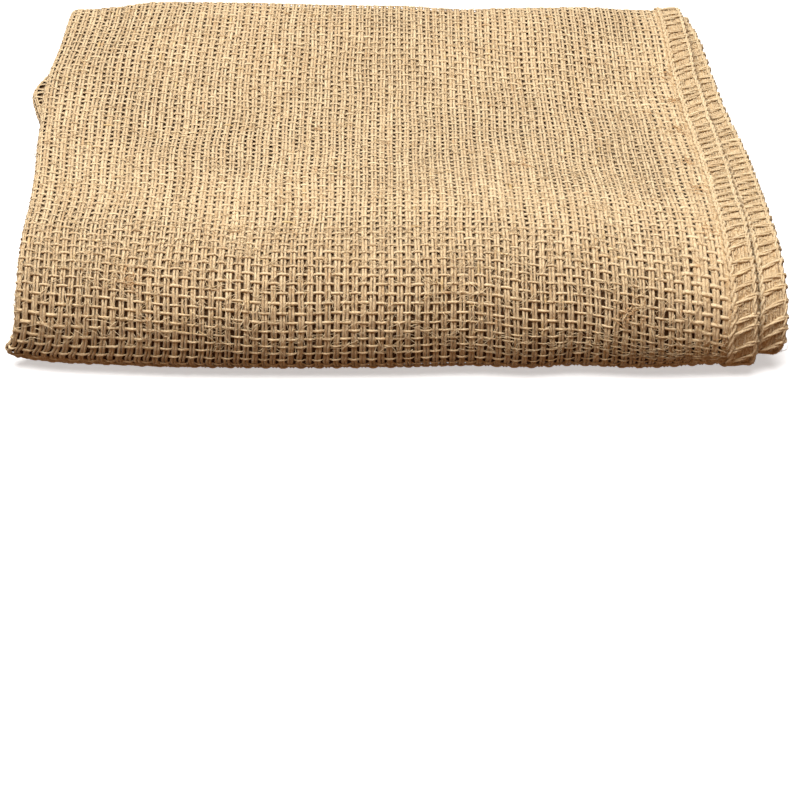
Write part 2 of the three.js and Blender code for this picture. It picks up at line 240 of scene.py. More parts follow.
class Lay:
    """Turns lengths along the cloth, from the crest to the rear, into places on the folds."""

    PLACES = 200  # measured in each stretch

    def __init__(self, edge_x, off, columns=24, step=0.5):
        at = np.linspace(0, STRETCHES, self.PLACES * STRETCHES + 1)
        self.columns = columns
        tables = []
        for k in range(columns + 1):
            x = edge_x(at, k / columns)
            points = on_cloth(at, x, off(at, x))
            run = np.concatenate([[0], np.cumsum(np.linalg.norm(np.diff(points, axis=0), axis=1))])
            tables.append(run - np.interp(CREST, at, run))
        self.low, self.high = min(t[0] for t in tables), max(t[-1] for t in tables)
        self.lengths = np.arange(self.low, self.high + step, step)
        self.step = step
        self.at = np.column_stack([np.interp(self.lengths, t, at) for t in tables])

    def place(self, share, along):
        """`at` for a share of the way across and a length along the cloth."""
        c = np.clip(share, 0, 1) * self.columns
        c0 = np.minimum(np.floor(c), self.columns - 1).astype(int)
        r = np.clip((along - self.low) / self.step, 0, len(self.lengths) - 1.001)
        r0 = np.floor(r).astype(int)
        cf, rf = c - c0, r - r0
        near = self.at[r0, c0] * (1 - cf) + self.at[r0, c0 + 1] * cf
        far = self.at[r0 + 1, c0] * (1 - cf) + self.at[r0 + 1, c0 + 1] * cf
        return near * (1 - rf) + far * rf


def upper_x(at, share):
    """x of a yarn: straight in the middle of the cloth, and along each side edge beside it."""
    left = (left_edge(at) - STRAIGHT_LEFT) * (1 - share) ** 4
    right = (inboard_edge(at) - STRAIGHT_RIGHT) * share**4
    start = STRAIGHT_LEFT + HALF
    return start + (STRAIGHT_RIGHT - start) * share + left + right


def waves(seed, count, shortest, longest):
    """A smooth uneven field of about -1 to 1 over lengths across and along the cloth."""
    rng = seeded(seed)
    lengths = rng.uniform(shortest, longest, count)
    turns, phases = rng.uniform(0, np.pi, count), rng.uniform(0, 2 * np.pi, count)

    def field(u, v):
        total = np.zeros(np.broadcast(u, v).shape)
        for length, turn, phase in zip(lengths, turns, phases):
            total += np.sin(2 * np.pi * (u * np.cos(turn) + v * np.sin(turn)) / length + phase)
        return total / math.sqrt(count / 2) / 1.6

    return field


def along_yarn(seed, number, run, length):
    """Uneven values of about -1 to 1 along yarns that each have a number."""
    rng = seeded(seed)
    knots = rng.normal(0, 0.55, (512, 64))
    t = np.mod(run / length + 0.37 * number, 63.0)
    i = np.floor(t).astype(int)
    f = ramp(0, 1, t - i)
    k = np.mod(number.astype(int), 512)
    return knots[k, i] * (1 - f) + knots[k, i + 1] * f


def changer(seed, number, run):
    """Gives one set of such values for each step added to the seed."""
    return lambda step, length: along_yarn(seed + step, number, run, length)


def uneven(seed, like, spread):
    """Small uneven steps, one for each point."""
    return np.clip(seeded(seed).normal(0, spread, like.shape), -2 * spread, 2 * spread)


upper_lay = Lay(upper_x, lambda at, x: outer_off(at, x) - YARN_LAYER)
drift_across = waves(11, 9, 34, 120)
drift_along = waves(12, 9, 30, 110)
uneven_fullness = waves(13, 8, 34, 130)


def fullness(across, along):
    """How much fuller the yarns are: uneven, and full beside the seam and behind the crest."""
    by_seam = ramp(WIDTH - 26, WIDTH - 15, across)
    by_crest = ramp(2, 14, along) * (1 - ramp(26, 46, along))
    return uneven_fullness(across, along) + FULLER_BY_SEAM * by_seam + FULLER_BY_CREST * by_crest


def on_weave(across, along, height):
    """Points of the outer wall. `across` counts from the lengthwise fold to the inboard cut edge,
    `along` from the crest to the rear, and `height` from the middle of the yarns outwards."""
    reach = across - TURN - DRIFT_MIDDLE
    calm = ramp(0, 26, WIDTH - across) * ramp(-6, 20, across)
    across = across + DRIFT_ACROSS * drift_across(reach, along) * calm
    share = (across - TURN) / WIDTH
    skew = through(SKEW_ACROSS, SKEW, np.clip(share, 0, 1) * WIDTH - SKEW_MIDDLE)
    shift = skew * ramp(-70, -40, along) * ramp(330, 250, along)
    shift = shift + DRIFT_ALONG * drift_along(reach, along)
    at = upper_lay.place(share, along + shift)
    angle = np.clip((TURN - across) / HALF, 0, math.pi)
    on_turn = across < TURN
    x = upper_x(at, np.maximum(share, 0))
    off = outer_off(at, x) - YARN_LAYER + height
    radius = HALF - YARN_LAYER + height
    x = np.where(on_turn, left_edge(at) + HALF - radius * np.sin(angle), x)
    off = np.where(on_turn, radius * np.cos(angle), off)
    past = np.where(across < -TURN, -TURN - across, 0)
    return on_cloth(at, x + past, off)


# ---- flat parts, by bmesh operators

MM = 0.001
APART = 4.0  # between the straight tubes of an array, which have a radius of 1
ALONG_Y = Matrix.Rotation(math.pi / 2, 4, "Z") @ Matrix.Rotation(math.pi / 2, 4, "Y")


def new_mesh(name, bm):
    """A mesh from a finished bmesh."""
    mesh = bpy.data.meshes.new(name)
    bm.to_mesh(mesh)
    bm.free()
    return mesh


def new_object(name, data):
    """An object in the scene."""
    new = bpy.data.objects.new(name, data)
    bpy.context.scene.collection.objects.link(new)
    return new


def arrayed(mesh, count):
    """The same mesh `count` times side by side, joined."""
    holder = new_object("array", mesh)
    array = holder.modifiers.new("array", "ARRAY")
    array.use_relative_offset, array.use_constant_offset = False, True
    array.constant_offset_displace, array.count = (APART, 0, 0), count
    finished = holder.evaluated_get(bpy.context.evaluated_depsgraph_get())
    joined = bpy.data.meshes.new_from_object(finished)
    bpy.data.objects.remove(holder)
    return joined


class Tubes:
    """An array of straight closed tubes, and where each point is on its tube."""

    def __init__(self, count, steps, sides=4):
        bm = bmesh.new()
        bmesh.ops.create_cone(
            bm, cap_ends=True, segments=sides, radius1=1, radius2=1, depth=steps, matrix=ALONG_Y
        )
        long_edges = [e for e in bm.edges if abs(e.verts[0].co.y - e.verts[1].co.y) > 0.5 * steps]
        if steps > 1:
            bmesh.ops.subdivide_edges(bm, edges=long_edges, cuts=steps - 1)
        self.mesh = new_mesh("tubes", bm)
        if count > 1:
            self.mesh = arrayed(self.mesh, count)
        points = mesh_points(self.mesh)
        self.number = np.round(points[:, 0] / APART)
        self.aside = points[:, 0] - APART * self.number
        self.up = points[:, 2]
        self.step = points[:, 1] - points[:, 1].min()
        self.turned = np.arctan2(self.up, self.aside)


def mesh_points(mesh):
    """Its vertices, a row for each."""
    points = np.empty(len(mesh.vertices) * 3)
    mesh.vertices.foreach_get("co", points)
    return points.reshape(-1, 3)


def to_piece(name, mesh, points, material, fibre=None, tint=None):
    """Puts a mesh in place and makes it a piece that rides on the sack."""
    mesh.name = name
    mesh.vertices.foreach_set("co", (points * MM).ravel())
    bm = bmesh.new()
    bm.from_mesh(mesh)
    bmesh.ops.recalc_face_normals(bm, faces=bm.faces[:])
    bm.to_mesh(mesh)
    bm.free()
    if fibre:
        held = mesh.attributes.new("fibre", "FLOAT_VECTOR", "POINT")
        held.data.foreach_set("vector", np.column_stack(fibre).ravel())
        colour = mesh.attributes.new("tint", "FLOAT_COLOR", "POINT")
        colour.data.foreach_set("color", np.column_stack([*tint, np.ones(len(points))]).ravel())
    mesh.polygons.foreach_set("use_smooth", np.ones(len(mesh.polygons), bool))
    mesh.materials.clear()
    mesh.materials.append(material)
    mesh.update()
    piece = new_object(name, mesh)
    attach(piece, "root")
    return piece


def fibre_places(tubes, number, along, twist):
    """Places for the streaks of fibre: close together round a yarn and long along it."""
    angle = tubes.turned + twist * along
    return number * 7.3 + np.cos(angle), along * 0.30 + number * 3.1, np.sin(angle)


def yarn_tints(seed, number, along, lighter=0.0):
    """Red holds how light a yarn is, green how orange, blue how yellow."""
    changes = changer(seed, number, along)
    light = np.clip(0.5 + (changes(0, 60.0) * 0.15 + changes(1, 7.0) * 0.15), 0, 1)
    orange = ramp(1.1, 1.8, changes(2, 4.5)) * 0.55
    yellow = ramp(0.9, 1.8, changes(3, 7.0)) * 0.5
    return np.clip(light + lighter, 0, 1), orange, yellow


# ---- the yarns

# Loose on the front roll, and pressed flat on top.
WARP = {"half_width": (0.60, 0.74), "half_height": (0.44, 0.34), "rise": (0.24, 0.10)}
WEFT = {"half_width": (0.57, 0.82), "half_height": (0.42, 0.26), "rise": (0.46, 0.27)}
WARP["beside"] = (0.62, 0.66)  # from the middle of a pair to each of its warps
LOOSE_TO, PRESSED_FROM = -42, 4  # along the cloth
WARP_STEPS = 3  # from one weft to the next
WEFT_STEPS = 4  # from one pair of warps to the next


def of_yarn(sizes, name, along):
    """One of a yarn's sizes, from loose to pressed."""
    loose, flat = sizes[name]
    return loose + (flat - loose) * ramp(LOOSE_TO, PRESSED_FROM, along)


def warp_yarns(name, pairs, picks, material, seed=21):
    """Doubled warps, over one weft and under the next."""
    first, last = pairs
    tubes = Tubes(2 * (last - first + 1), (picks[1] - picks[0]) * WARP_STEPS)
    strand = tubes.number + 2 * first
    pair = np.floor(strand / 2)
    side = np.where(np.mod(strand, 2) > 0.5, 1.0, -1.0)
    pick = picks[0] + tubes.step / WARP_STEPS
    along = pick * PICK
    size = lambda name: of_yarn(WARP, name, along)
    strand_changes, pair_changes = (changer(seed, n + 200, along) for n in (strand, pair))
    rise = size("rise") * (1 + 0.25 * along_yarn(seed + 5, pair, along, 16.0))
    thick = 1 + 0.14 * strand_changes(6, 8.0) + uneven(seed + 4, along, 0.12)
    thick += 0.09 * fullness(pair * PAIR, along)
    aside = side * size("beside") + 0.15 * strand_changes(7, 11.0)
    aside += 0.22 * pair_changes(8, 19.0)
    across = pair * PAIR + aside + tubes.aside * size("half_width") * thick
    height = tubes.up * size("half_height") * thick - rise * np.cos(np.pi * pick) * np.cos(np.pi * pair)
    height += 0.05 * side * pair_changes(9, 7.0)
    points = on_weave(across, along, height)
    fibre = fibre_places(tubes, strand, along, 0.55)
    tint = yarn_tints(seed, strand + 200, along)
    return to_piece(name, tubes.mesh, points, material, fibre, tint)


def weft_yarns(name, pairs, picks, material, seed=41):
    """Single wefts, over one pair of warps and under the next."""
    tubes = Tubes(picks[1] - picks[0] + 1, int((pairs[1] - pairs[0]) * WEFT_STEPS))
    pick = tubes.number + picks[0]
    pair = pairs[0] + tubes.step / WEFT_STEPS
    across = pair * PAIR
    changes = changer(seed, pick + 200, across)
    wave = np.cos(np.pi * pair)
    wave = wave * (1.5 - 0.5 * wave * wave) * np.cos(np.pi * pick)
    thick = 1 + 0.18 * changes(6, 7.0) + uneven(seed + 4, across, 0.12)
    thick += 0.14 * fullness(across, pick * PICK)
    along = pick * PICK + 0.24 * changes(7, 9.0)
    height = of_yarn(WEFT, "rise", along) * wave + tubes.up * of_yarn(WEFT, "half_height", along) * thick
    along = along + tubes.aside * of_yarn(WEFT, "half_width", along) * thick
    points = on_weave(across, along, height)
    fibre = fibre_places(tubes, pick + 400, across, 0.7)
    # painted highlight: the wefts are coloured lighter than the warps, standing in for the light they
    # catch as they rise over them
    tint = yarn_tints(seed, pick + 200, across, lighter=0.12)
    return to_piece(name, tubes.mesh, points, material, fibre, tint)


# ---- the wall under the yarns, with painted shade where they lie over it

FINE_STEPS = (14, 8, 16, 24, 10, 26, 10, 14)  # in each stretch
CLOSED_END = 0.008  # `at`, where the inside of the sack begins
PLACES = 26  # from the lengthwise fold to a seam
TURN_PLACES = 9  # round the fold
RUN = 2 * PLACES + 1 + TURN_PLACES
WALL_UNDER_YARNS = 0.25
DRAWN_IN_UNDER_YARNS = 0.9
PAINTED_LIGHT_ON_TOP = 0.62  # painted light: the painted shade between the yarns is made this much paler on top, where more light falls in from above
PALER_FROM, PALER_TO = 2.35, 2.9  # `at`
YARNS_START, YARNS_END = (0.72, 0.92), (5.08, 5.28)  # `at`
SIDE_OUT, SIDE_SHARE = (0.4, 0.8, 0.8, 0.4), (0.15, 0.4, 0.6, 0.85)  # round the inside's ends
JOINED_WITHIN = 0.004


def sheet_section(at, inside):
    """Across the cloth at each `at`: x and off of the points round its outside or its inside."""
    left = left_edge(at)[:, None] + HALF
    upper_end = (inboard_edge(at) - SEAM_WIDTH - SEAM_RUN)[:, None]
    lower_end = (outboard_edge(at) - SEAM_WIDTH - SEAM_RUN)[:, None]
    upper = left + (upper_end - left) * np.linspace(0, 1, PLACES) ** 1.15
    lower = np.hstack([upper, lower_end])
    zone = (ramp(*YARNS_START, at) * (1 - ramp(*YARNS_END, at)))[:, None]  # 1 under the yarns
    by_turn = lambda x: 1 - ramp(2.5, 5.5, x - left)
    angle = np.pi * np.arange(1, TURN_PLACES + 1) / (TURN_PLACES + 1)

    def run(up, low):
        radius = up[:, :1] + (low[:, :1] - up[:, :1]) * angle / np.pi
        x = np.hstack([upper[:, ::-1], left - radius * np.sin(angle), lower])
        return x, np.hstack([up[:, ::-1], radius * np.cos(angle), -low])

    def drawn(edge, side):
        cut = edge(at)[:, None]
        outer = SEAM_DRAWN_IN / 2 - DRAWN_IN_UNDER_YARNS * zone * (side > 0)
        inner = -SEAM_DRAWN_IN / 2 + DRAWN_IN_UNDER_YARNS * zone * (side < 0)
        x = np.hstack([cut - SEAM_WIDTH, cut, cut, cut - SEAM_WIDTH])
        return x, side * (SEAM_MIDDLE + np.hstack([outer, outer, inner, inner]))

    sunk_up, sunk_low = np.maximum(zone, by_turn(upper)), by_turn(lower)
    face = lambda off, depth=0: run(off - depth * sunk_up, off - depth * sunk_low)
    if not inside:
        outer, inner = face(HALF, GROUND), face(LINING["crease"])
        outboard, inboard = drawn(outboard_edge, -1), drawn(inboard_edge, 1)
        inboard = tuple(a[:, ::-1] for a in inboard)
    else:
        thinner = LINING["outer"] - (HALF - GROUND - WALL_UNDER_YARNS)
        outer, inner = face(LINING["outer"], thinner), face(LINING["inner"])
        out, share = np.array(SIDE_OUT), np.array(SIDE_SHARE)
        end = lambda x, first, last: (x + out, first + (last - first) * share)
        outboard = end(lower_end, outer[1][:, -1:], inner[1][:, -1:])
        inboard = end(upper_end, inner[1][:, :1], outer[1][:, :1])
    inner = tuple(a[:, ::-1] for a in inner)
    # painted shade: `under` is 1 where the wall is coloured as the shade seen between the yarns, and 0
    # on the inside
    under = np.zeros((len(at), 2 * RUN + 8))
    if not inside:
        turn = np.ones((len(at), TURN_PLACES))
        margin = np.hstack([np.zeros((len(at), 2)), zone, zone])
        # painted light: the painted shade is paler on the top, as if lit from above
        painted_light_on_top = 1 - PAINTED_LIGHT_ON_TOP * ramp(PALER_FROM, PALER_TO, at)[:, None]
        lining = (np.zeros((len(at), RUN)), zone * np.array([0, 0, 1, 1]))
        under = np.hstack([sunk_up[:, ::-1] * painted_light_on_top, turn, sunk_low, margin, *lining])
    return tuple(np.hstack(parts) for parts in zip(outer, outboard, inner, inboard)) + (under,)


def sheet_mesh(points, layers):
    """A grid laid on rows of points and joined where they meet, with values for each in layers."""
    rows, columns = points.shape[:2]
    bm = bmesh.new()
    bmesh.ops.create_grid(bm, x_segments=columns - 1, y_segments=rows - 1, size=1)
    held = [(getattr(bm.verts.layers, kind).new(name), values) for name, kind, values in layers]
    for vert in bm.verts:
        column = round((vert.co.x + 1) / 2 * (columns - 1))
        row = round((vert.co.y + 1) / 2 * (rows - 1))
        vert.co = points[row, column]
        for layer, values in held:
            vert[layer] = values[row, column]
    bmesh.ops.remove_doubles(bm, verts=bm.verts[:], dist=JOINED_WITHIN)
    return new_mesh("sheet", bm)


def cloth_sheet(material):
    """The doubled cloth as one closed sheet: out along its inside, round the mouth and back."""
    stations = [0.0, CLOSED_END]
    for stretch, steps in enumerate(FINE_STEPS):
        stations += [stretch + (i + 1) / steps for i in range(steps)]
    stations = np.array(stations)

    def skin(at, inside):
        x, off, under = sheet_section(at, inside)
        places = on_cloth(at[:, None], x, off).reshape(len(at), -1, 3)
        return np.concatenate([places, under[:, :, None]], axis=2)

    def closing(row):
        partner = np.mod(2 * RUN + 3 - np.arange(len(row)), len(row))
        return ((row + row[partner]) / 2)[None]

    inner, outer = skin(stations[1:], True), skin(stations[::-1], False)
    rows = np.concatenate([closing(inner[0]), inner, outer, closing(outer[-1])])
    rows = np.concatenate([rows, rows[:, :1]], axis=1)
    points, under = rows[:, :, :3], rows[:, :, 3]
    lengths = [np.linalg.norm(np.diff(points, axis=k), axis=2).mean(axis=1 - k) for k in (0, 1)]
    along, across = (np.concatenate([[0], np.cumsum(steps)]) for steps in lengths)
    cloth = np.dstack([*np.meshgrid(across, along), 0 * under])
    # the mask of painted shade goes to the wall's finish as an attribute
    mesh = sheet_mesh(points, (("under_yarns", "float", under), ("cloth", "float_vector", cloth)))
    return to_piece("cloth_walls", mesh, mesh_points(mesh), material)


# ---- the overlocked seams

STITCH = 5.6  # from one stitch to the next
STRANDS = 3  # in one stitch, twisted together
CHAIN = 3.8  # from one loop to the next along the ridges
SEAMS = {"inboard": (inboard_edge, 1), "outboard": (outboard_edge, -1)}
seam_lays = {
    name: Lay(
        lambda at, share, edge=edge: edge(at) - 5,
        lambda at, x, side=side: side * SEAM_MIDDLE + 0 * x,
        columns=1,
    )
    for name, (edge, side) in SEAMS.items()
}
# A stitch from the inner ridge over the walls, round the cut edge and back under them.
STITCH_IN = (10.6, 9.0, 6.5, 4.0, 1.6, 0.15, -0.25, 0.15, 3.0, 9.5)
STITCH_UP = (1.40, 1.72, 1.70, 1.68, 1.74, 1.42, 0.0, -1.40, -1.58, -1.45)
STITCH_LEAN = (0.0, 0.6, 1.8, 3.0, 4.0, 4.4, 4.5, 4.6, 5.0, 5.6)
# The close-sewn twine between the stitches, over the walls, and its hidden side on them.
COVER_IN = (12.3, 11.2, 9.9, 8.3, 6.6, 4.9, 3.2, 1.4, 0.2, -0.12, 0.2, 1.6, 5.0, 9.9)
COVER_UP = (0.78, 1.06, 1.22, 1.20, 1.22, 1.20, 1.22, 1.20, 0.92, 0.0, -0.95, -1.22, -1.24, -1.10)
COVER_STEP = 2.5
STRANDS_ALONG = (2.3, 3.7, 5.1, 6.5, 7.9)  # inwards from the cut edge
STRAND_STEP = 2.2
# The ridge of chain at the cut edge, and the one at the inner edge of the binding.
RIDGES = {"half_thick": (0.56, 0.80), "inwards": (1.15, 9.95), "swing": (0.48, 0.72), "up": (1.80, 1.72)}


def on_seam(seam, inwards, along, up):
    """Points by a seam: `inwards` from its cut edge, and `up` from the middle of its walls."""
    edge, side = SEAMS[seam]
    at = seam_lays[seam].place(np.zeros_like(along), along)
    return on_cloth(at, edge(at) - inwards, side * SEAM_MIDDLE + up)


def seam_cover(seam, material, seed):
    """The fluffed twine that fills the binding between the stitches, as one closed thin shell."""
    lay = seam_lays[seam]
    rows, columns = int((lay.high - lay.low) / COVER_STEP), len(COVER_IN)
    rng = seeded(seed)
    along = np.linspace(lay.low, lay.high, rows)[:, None]
    inwards = np.array(COVER_IN) + rng.normal(0, 0.12, (rows, columns))
    up = np.array(COVER_UP) * (1 + rng.normal(0, 0.10, (rows, columns)))
    hidden_in = np.clip(COVER_IN[::-1], 0.25, None) + np.zeros((rows, 1))
    hidden_up = np.array(COVER_UP[::-1]) * 0.72 + np.zeros((rows, 1))
    for end in (0, -1):
        hidden_in[end], hidden_up[end] = inwards[end, ::-1], up[end, ::-1]
    inwards, up = np.hstack([inwards, hidden_in]), np.hstack([up, hidden_up])
    shift = rng.normal(0, 0.15, inwards.shape)
    shift[:, columns:] = 0
    shift[[0, -1]] = 0
    light = 0.34 + rng.normal(0, 0.16, inwards.shape)
    inwards, up, shift, light = (np.hstack([a, a[:, :1]]) for a in (inwards, up, shift, light))
    points = on_seam(seam, inwards.ravel(), (along + shift).ravel(), up.ravel())
    none = np.zeros_like(light)
    layers = (
        ("fibre", "float_vector", np.dstack([inwards * 0.55, along * 1.1 + none, up])),
        ("tint", "float_color", np.dstack([light, none, none, none + 1])),
    )
    mesh = sheet_mesh(points.reshape(*light.shape, 3), layers)
    return to_piece(f"{seam}_binding", mesh, mesh_points(mesh), material)


def stitches(seam, material, seed):
    """Slanting stitches of twisted strands, over both walls and round the cut edge."""
    lay = seam_lays[seam]
    bars = int((lay.high - lay.low - 8) / STITCH)
    count, knots = STRANDS * bars, range(len(STITCH_IN))
    tubes = Tubes(count, knots[-1])
    rng = seeded(seed)
    pick = tubes.number.astype(int)
    bar, strand = pick // STRANDS, np.mod(pick, STRANDS)
    t, nudge = tubes.step, 0.05
    own = lambda spread: rng.normal(0, spread, count)[pick]
    shared = lambda spread: rng.normal(0, spread, bars)[bar]
    slope = lambda row: np.interp(t + nudge, knots, row) - np.interp(t - nudge, knots, row)
    inwards, up, lean = (np.interp(t, knots, row) for row in (STITCH_IN, STITCH_UP, STITCH_LEAN))
    inwards_next, up_next = slope(STITCH_IN), slope(STITCH_UP)
    length = np.hypot(inwards_next, up_next)
    thick = (0.60 + own(0.05)) * (1 + uneven(seed + 1, t, 0.13))
    angle = 0.85 * t + 2 * np.pi * strand / STRANDS + shared(2.0)
    lifted = (0.34 + shared(0.05)) * np.sin(angle) + tubes.up * thick * 0.8
    inwards = inwards + own(0.35) * ramp(9, 11, inwards) + lifted * up_next / length
    up = up - lifted * inwards_next / length
    along = lay.low + 2 + bar * STITCH + shared(0.55) + lean * (1 + shared(0.15))
    along = along + (0.62 + shared(0.10)) * np.cos(angle)
    along = along + 0.3 * np.sin(t * 0.7 + shared(2.0)) + tubes.aside * thick
    points = on_seam(seam, inwards, along, up)
    fibre = fibre_places(tubes, tubes.number + 900, t * 1.9, 0.5)
    light = np.clip(0.60 + own(0.07) + shared(0.06) + uneven(seed + 2, t, 0.06), 0, 1)
    tint = (light, ramp(1.6, 3.0, shared(1.0)) * 0.4, ramp(1.4, 2.6, own(1.0)) * 0.2)
    return to_piece(f"{seam}_stitches", tubes.mesh, points, material, fibre, tint)


def sewn_strands(seam, material, seed):
    """The warps that show between the stitches."""
    lay = seam_lays[seam]
    tubes = Tubes(len(STRANDS_ALONG), int((lay.high - lay.low - 4) / STRAND_STEP))
    along = lay.low + 2 + tubes.step * STRAND_STEP
    changes = changer(seed, tubes.number, along)
    thick = 0.52 * (1 + uneven(seed, along, 0.16) + 0.15 * changes(1, 6.0))
    inwards = np.array(STRANDS_ALONG)[tubes.number.astype(int)] + tubes.aside * thick
    inwards += 0.3 * changes(2, 7.0)
    up = 1.16 + 0.16 * changes(3, 2.4) + tubes.up * thick * 0.7
    points = on_seam(seam, inwards, along, up)
    fibre = fibre_places(tubes, tubes.number + 700, along, 0.55)
    tint = yarn_tints(seed, tubes.number + 90, along, lighter=-0.04)
    return to_piece(f"{seam}_strands", tubes.mesh, points, material, fibre, tint)


def chain_ridges(seam, material, seed):
    """Two twisted pairs of twine, one along each edge of the binding."""
    lay = seam_lays[seam]
    tubes = Tubes(4, int((lay.high - lay.low - 6) / (CHAIN / 4)))
    along = lay.low + 3 + tubes.step * CHAIN / 4
    size = lambda name: np.where(tubes.number >= 2, *RIDGES[name])
    turn = np.pi * along / CHAIN + np.pi * np.mod(tubes.number, 2)
    thick = 1 + 0.16 * along_yarn(seed, tubes.number, along, 4.0) + uneven(seed + 2, along, 0.1)
    thick = size("half_thick") * thick
    inwards = size("inwards") + size("swing") * np.cos(turn) + tubes.aside * thick
    inwards += 0.45 * along_yarn(seed + 1, np.floor(tubes.number / 2), along, 9.0)
    up = size("up") + 0.24 * np.sin(turn) + tubes.up * thick * 0.85
    points = on_seam(seam, inwards, along, up)
    fibre = fibre_places(tubes, tubes.number + 800, along, 0.9)
    tint = yarn_tints(seed, tubes.number + 60, along, lighter=0.16)
    return to_piece(f"{seam}_chain", tubes.mesh, points, material, fibre, tint)


# ---- loose fibres

SEAM_FIBRES = 650
ON_THE_ROLL = 0.45  # of the loose fibres
ROLL_FOOT = -60.0  # along the cloth, where the front roll turns under
FIBRE_STEPS = 3
# Clusters of fibre: across and along the cloth, how far they spread and how many fibres each has.
SLUBS = (
    (48.5, -33.5, 2.0, 26), (243.0, -34.0, 2.6, 30), (278.5, 150.0, 1.5, 12), (278.0, 129.0, 1.5, 14),
    (276.8, 104.0, 1.5, 14), (275.5, 72.5, 1.6, 14), (276.0, 42.5, 1.8, 16), (277.5, 8.0, 1.8, 12),
    (279.0, -38.0, 1.8, 14), (120.0, 88.0, 1.4, 8), (208.0, 60.0, 1.3, 8),
)
STRAYS = (
    (22.0, -50.0, 5.0, 9), (49.0, -49.0, 6.0, 10), (90.0, -52.0, 16.0, 14), (150.0, -52.0, 26.0, 16),
    (205.0, -50.0, 22.0, 16), (250.0, -48.0, 12.0, 10), (280.0, -50.0, 5.0, 10), (5.0, -45.0, 5.0, 9),
)


def fibre_starts(across, along, height, orange):
    """Starts of fibres, a row for each: across, along, height and how orange it is."""
    return np.column_stack(np.broadcast_arrays(across, along, height, orange))


def clusters(places, height, orange, seed):
    """Starts of fibres in clusters."""
    rng = seeded(seed)
    spots = [(rng.normal(u, spread, n), rng.normal(v, spread, n)) for u, v, spread, n in places]
    return fibre_starts(*np.hstack(spots), height, orange)


def hairs(name, starts, place, material, seed, length, lift, thickness=0.12, slot="jute_cloth"):
    """Loose fibres: each starts at a row of `starts`, wanders over the cloth and lies back on it."""
    tubes = Tubes(len(starts), FIBRE_STEPS, sides=3)
    rng = seeded(seed)
    pick = tubes.number.astype(int)
    t = tubes.step / FIBRE_STEPS
    each = lambda low, high: rng.uniform(low, high, len(starts))[pick]
    heading, bend = each(0, 2 * np.pi), each(-2.4, 2.4)
    run = each(*length) * t
    turn = heading + bend * t
    u = starts[pick, 0] + run * np.cos(turn) - tubes.aside * thickness * np.sin(turn)
    v = starts[pick, 1] + run * np.sin(turn) + tubes.aside * thickness * np.cos(turn)
    v = ROLL_FOOT + np.abs(v - ROLL_FOOT)
    raised = each(*lift) * np.sin(np.pi * np.clip(t * each(0.75, 1.0), 0, 1))
    height = starts[pick, 2] + raised + tubes.up * thickness
    points = place(u, v, height)
    points[:, 2] = np.maximum(points[:, 2], thickness)
    fibre = fibre_places(tubes, tubes.number + 1300, run, 0.2)
    orange = starts[pick, 3] * each(0.3, 1.0)
    tint = (each(0.5, 1.0), orange, ramp(0.85, 1.0, each(0, 1)) * 0.5)
    return to_piece(name, tubes.mesh, points, material, fibre, tint)


# ---- finishes


class Nodes:
    """Adds and joins the nodes of one material."""

    def __init__(self, name):
        self.material = bpy.data.materials.new(name)
        self.material.use_nodes = True
        self.tree = self.material.node_tree
        self.shader = self.tree.nodes["Principled BSDF"]

    def add(self, kind, inputs=(), **settings):
        node = self.tree.nodes.new("ShaderNode" + kind)
        for name, value in settings.items():
            setattr(node, name, value)
        for name, value in dict(inputs).items():
            self.put(node.inputs[name], value)
        return node

    def put(self, socket, value):
        """Joins an input to another node's output, or gives it a plain value."""
        if isinstance(value, bpy.types.NodeSocket):
            self.tree.links.new(value, socket)
        else:
            socket.default_value = value

    def sum(self, operation, a, b=0.0):
        """One sum of two values, or one way of working on the first."""
        node = self.add("Math", operation=operation)
        self.put(node.inputs[0], a)
        self.put(node.inputs[1], b)
        return node.outputs[0]

    def plus(self, a, b):
        return self.sum("ADD", a, b)

    def minus(self, a, b):
        return self.sum("SUBTRACT", a, b)

    def times(self, a, b):
        return self.sum("MULTIPLY", a, b)

    def blend(self, share, a, b):
        node = self.add("Mix", data_type="RGBA")
        self.put(node.inputs["Factor"], share)
        self.put(node.inputs["A"], a)
        self.put(node.inputs["B"], b)
        return node.outputs["Result"]

    def noise(self, vector, scale, detail=2.0, roughness=0.5):
        inputs = {"Vector": vector, "Scale": scale, "Detail": detail, "Roughness": roughness}
        return self.add("TexNoise", inputs).outputs["Fac"]

    def between(self, value, low, high):
        node = self.add("MapRange", {"Value": value, "From Min": low, "From Max": high})
        return node.outputs["Result"]

    def bump(self, height, strength, distance):
        inputs = {"Strength": strength, "Distance": distance, "Height": height}
        return self.add("Bump", inputs).outputs["Normal"]

    def attribute(self, name, output="Vector"):
        return self.add("Attribute", attribute_name=name).outputs[output]

    def finish(self, **inputs):
        """Sets or joins the shader's own inputs."""
        for name, value in inputs.items():
            self.put(self.shader.inputs[name.replace("_", " ")], value)
        return self.material


def dye(name, share=1.0):
    """A share of one of the user's colours, as the four numbers that a socket takes."""
    colour = getattr(bpy.context.scene.jute_sack_colours, name)
    return (*(part * share for part in colour), 1.0)


